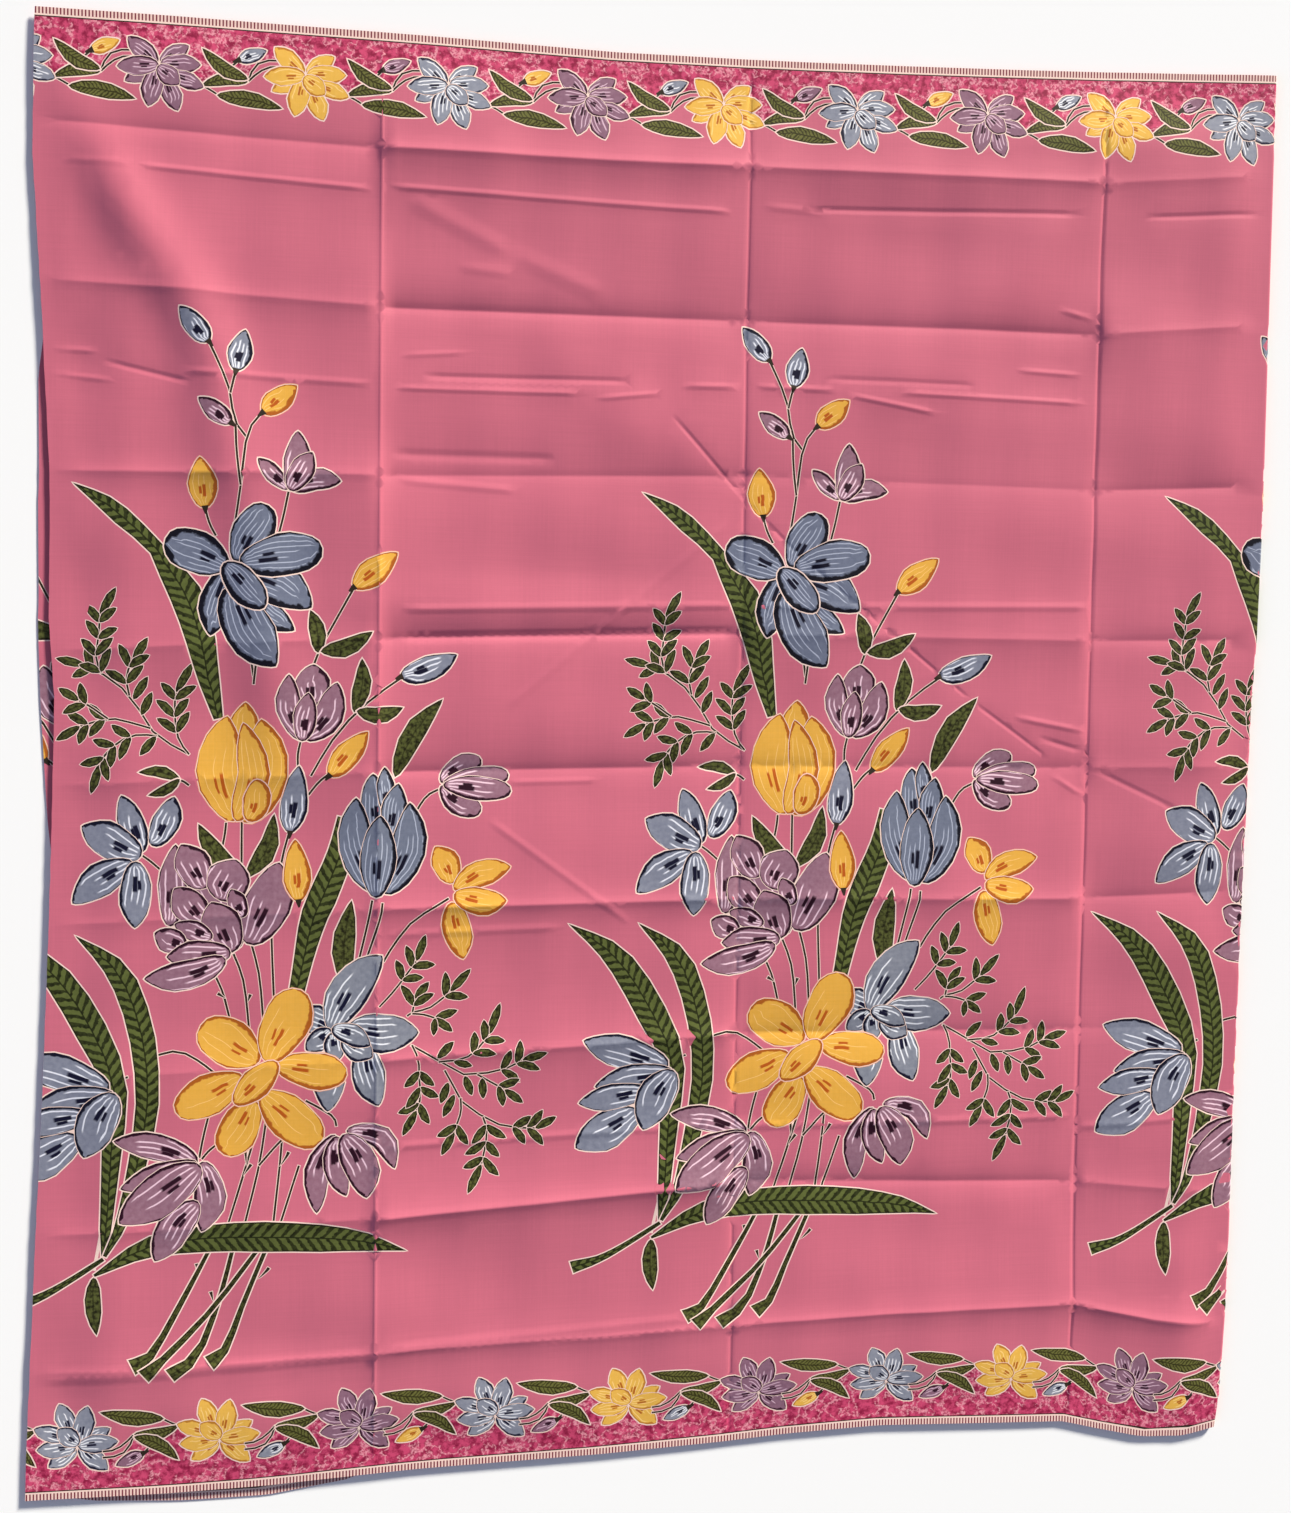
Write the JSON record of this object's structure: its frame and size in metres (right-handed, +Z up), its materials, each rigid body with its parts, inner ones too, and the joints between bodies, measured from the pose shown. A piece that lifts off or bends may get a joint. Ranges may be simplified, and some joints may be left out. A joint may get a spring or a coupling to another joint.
{
  "type": "batik cloth length, folded once and laid flat",
  "caption": "Rectangular length of printed batik cotton, folded once in half and laid flat, with packet creases and a turned edge; used as a wrap or cut for sewing.",
  "frame": {"origin": "middle of the part's outline, on the surface it lies on", "axes": "+X along the cloth from the cut edge to the turn, +Y across it towards the upper hem, +Z up from the surface"},
  "size_m": [1.009, 1.1655, 0.0156],
  "materials": {
    "cloth": "plain woven cotton, dyed, with a slight lustre"
  },
  "bodies": {
    "root": {"front_layer": "cloth", "back_layer": "cloth"}
  },
  "joints": []
}
